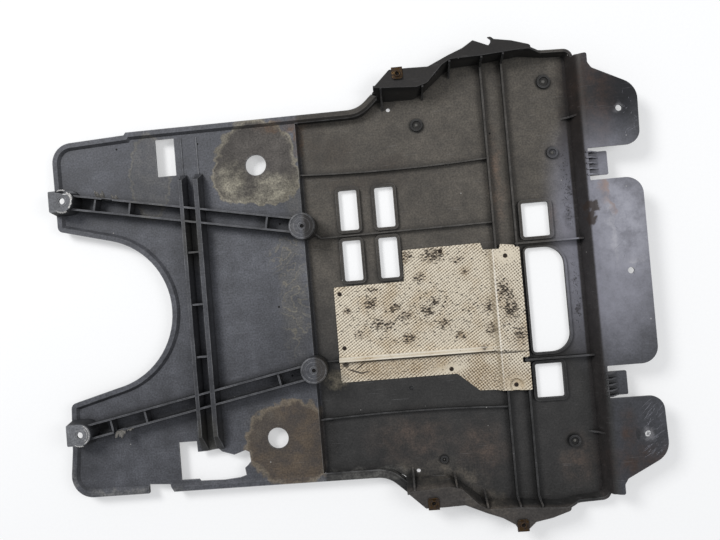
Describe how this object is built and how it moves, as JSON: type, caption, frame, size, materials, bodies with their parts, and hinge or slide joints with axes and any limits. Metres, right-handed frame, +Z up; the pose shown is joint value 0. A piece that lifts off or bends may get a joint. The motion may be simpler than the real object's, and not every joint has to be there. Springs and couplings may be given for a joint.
{
  "type": "engine undertray with heat shield",
  "caption": "Shallow moulded plastic engine undertray with ribs, windows, screw pads and tongues, and a riveted embossed aluminium heat shield; worn and torn.",
  "frame": {"origin": "centre of the bounding box in plan, on the underside of the pan", "axes": "+X towards the front of the car, +Y to its left, +Z up towards the engine"},
  "size_m": [0.871, 0.706, 0.042],
  "materials": {
    "black_plastic": "moulded polypropylene, scuffed, with dried dirt",
    "embossed_aluminium": "dull embossed sheet with burnt patches",
    "rivet_steel": "rusted",
    "spring_steel": "yellow plated, rusting"
  },
  "bodies": {
    "root": {"undertray": "black_plastic", "heat_shield": "embossed_aluminium", "shield_rivets": "rivet_steel", "spring_nuts": "spring_steel"}
  },
  "joints": []
}
